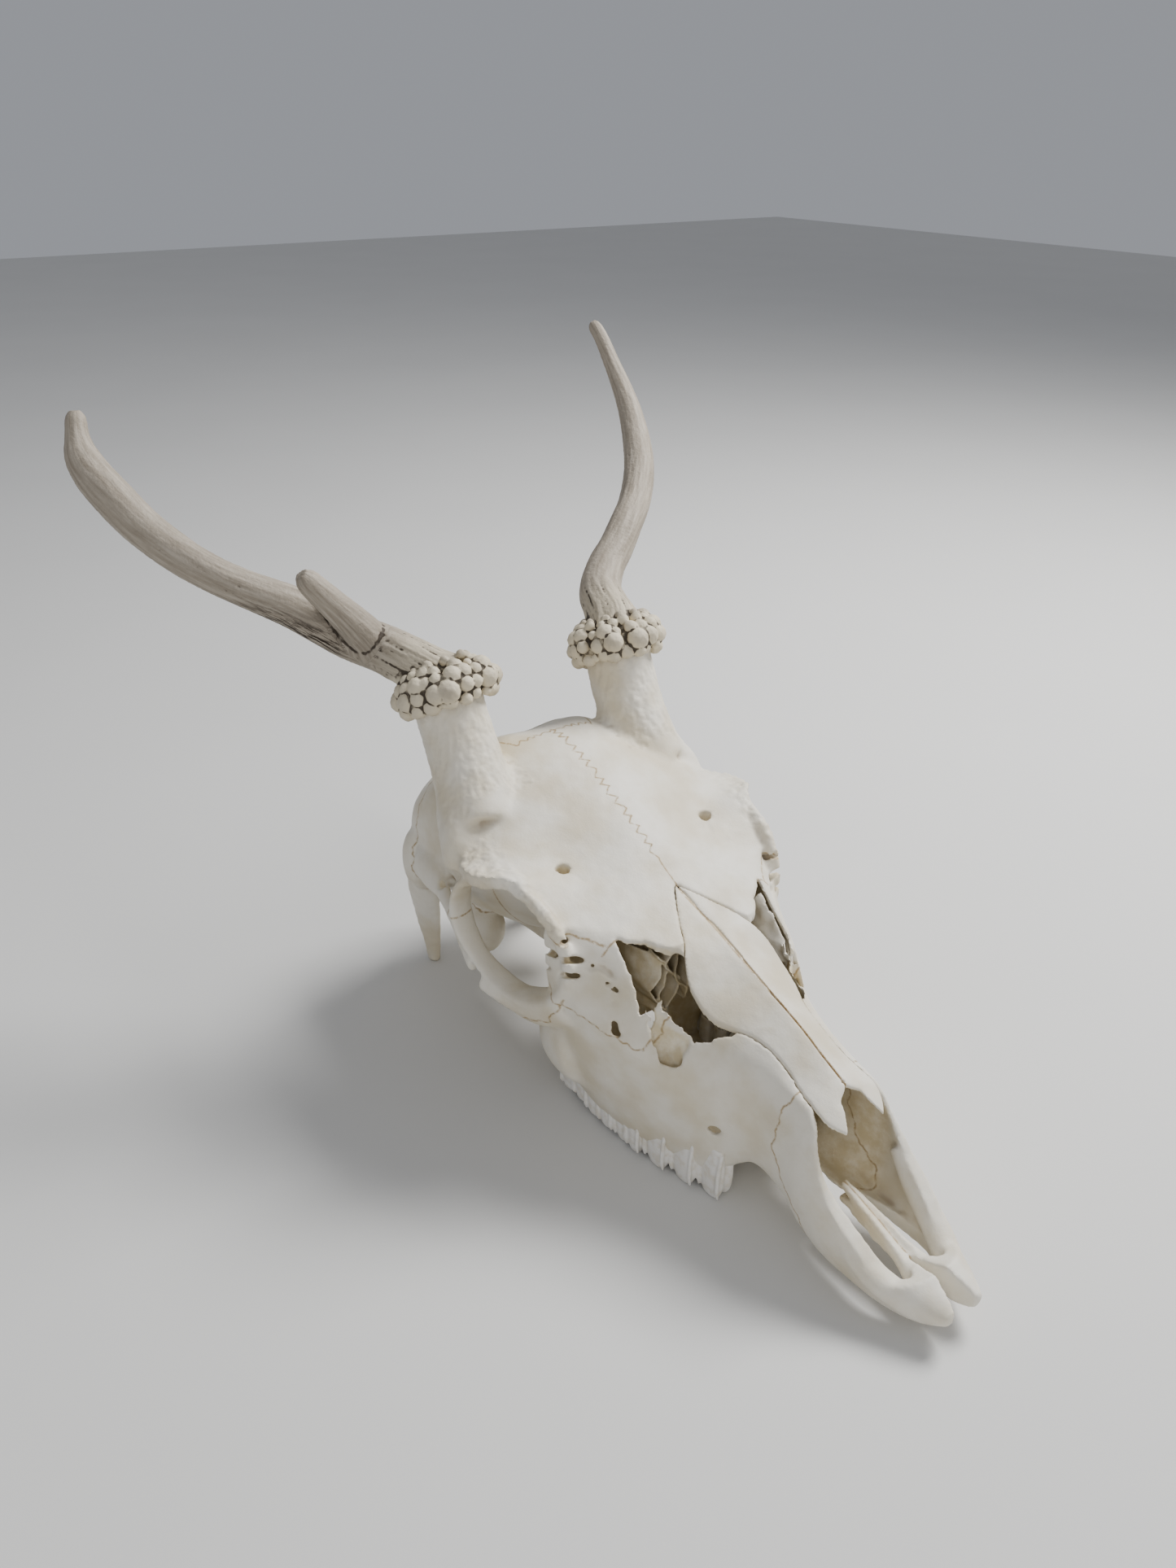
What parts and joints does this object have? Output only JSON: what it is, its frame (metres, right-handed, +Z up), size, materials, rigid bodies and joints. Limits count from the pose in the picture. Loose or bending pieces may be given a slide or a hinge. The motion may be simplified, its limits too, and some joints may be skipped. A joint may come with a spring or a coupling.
{
  "type": "deer skull",
  "caption": "Bleached upper skull of a young buck deer with antlers, forked on the right and plain on the left, eye sockets and long snout, lying on its cheek teeth.",
  "frame": {"origin": "middle of the bounding box's base, on the plane that the skull rests on", "axes": "+X towards the nose, +Y towards the animal's left, +Z up"},
  "size_m": [0.3538, 0.2528, 0.2451],
  "materials": {
    "bone": "dry bleached bone, matt with a faint sheen",
    "inner_bone": "thin tan bone inside the nose, matt",
    "antler": "grained grey-beige antler with dark stains, matt"
  },
  "bodies": {
    "root": {"antler_left_beam": "antler", "antler_right_beam": "antler", "antler_right_brow_tine": "antler", "braincase": "bone", "cranial_base": "bone", "ethmoid": "inner_bone", "frontal_left": "bone", "frontal_right": "bone", "lacrimal_left": "bone", "lacrimal_right": "bone", "maxilla_left": "bone", "maxilla_right": "bone", "nasal_left": "bone", "nasal_right": "bone", "occipital": "bone", "premaxilla_left": "bone", "premaxilla_right": "bone", "zygomatic_left": "bone", "zygomatic_right": "bone"}
  },
  "joints": []
}
